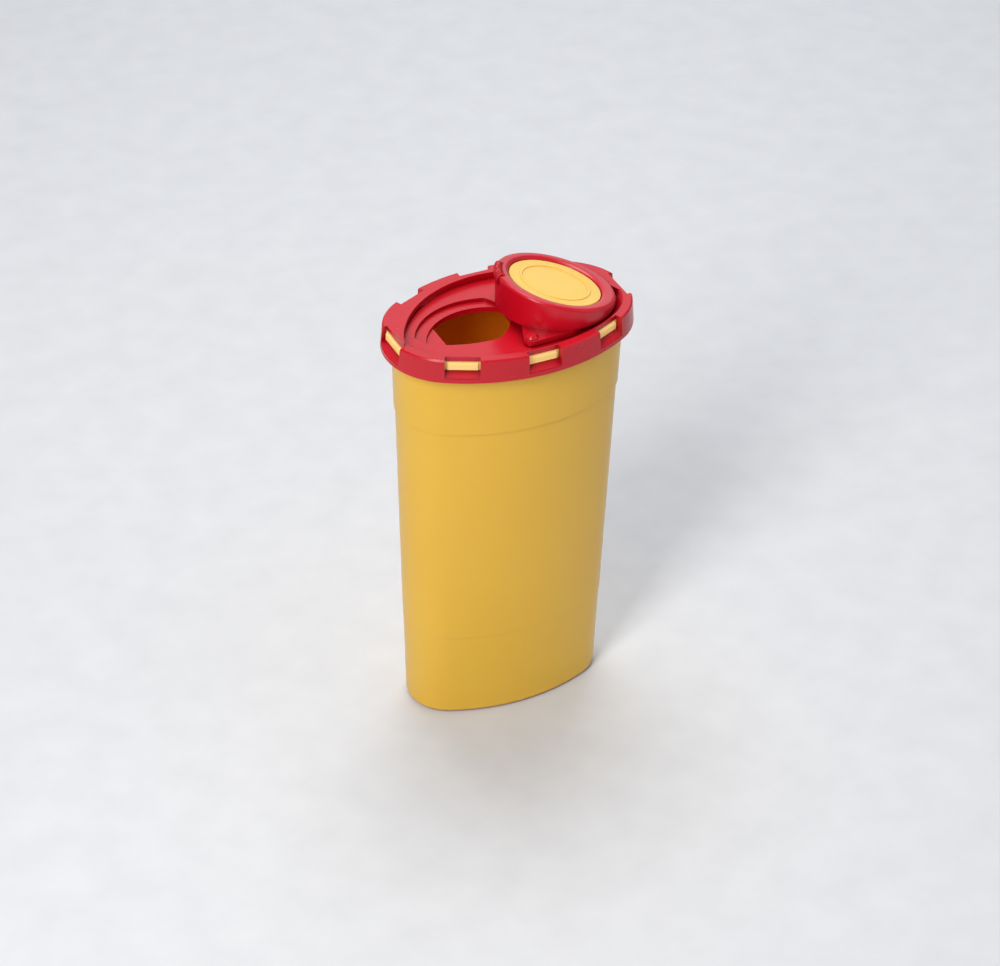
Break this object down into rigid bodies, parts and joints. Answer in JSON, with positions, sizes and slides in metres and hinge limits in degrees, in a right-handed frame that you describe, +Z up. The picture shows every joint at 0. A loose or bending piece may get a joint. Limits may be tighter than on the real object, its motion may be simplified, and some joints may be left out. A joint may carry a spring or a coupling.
{
  "type": "sharps container",
  "caption": "Oval drafted tub with a clipped windowed lid, an opening with an unscrewing edge, and a swinging closure drum that carries a round push button",
  "frame": {"origin": "on the ground under the middle of the tub's base", "axes": "+Z up out of the lid, +X along the tub's length towards the parked closure, +Y towards the back fence"},
  "size_m": [0.096, 0.0634, 0.1812],
  "materials": {
    "tub_plastic": "satin translucent yellow moulding",
    "lid_plastic": "satin red moulding",
    "button_plastic": "satin pale yellow moulding"
  },
  "bodies": {
    "base": {"container": "tub_plastic", "lid": "lid_plastic"},
    "closure": {"closure": "lid_plastic"},
    "button": {"push_button": "button_plastic"}
  },
  "joints": [
    {"name": "closure_swing", "type": "hinge", "parent": "base", "child": "closure", "pos_m": [0, -0.0195, 0.1661], "axis": [0, 0, 1], "range_deg": [0, 88]},
    {"name": "button_push", "type": "slide", "parent": "closure", "child": "button", "axis": [-0.2756, 0, -0.9613], "range_m": [0, 0.0012], "stiffness_N_per_m": 1500, "springref_m": -0.0002}
  ]
}
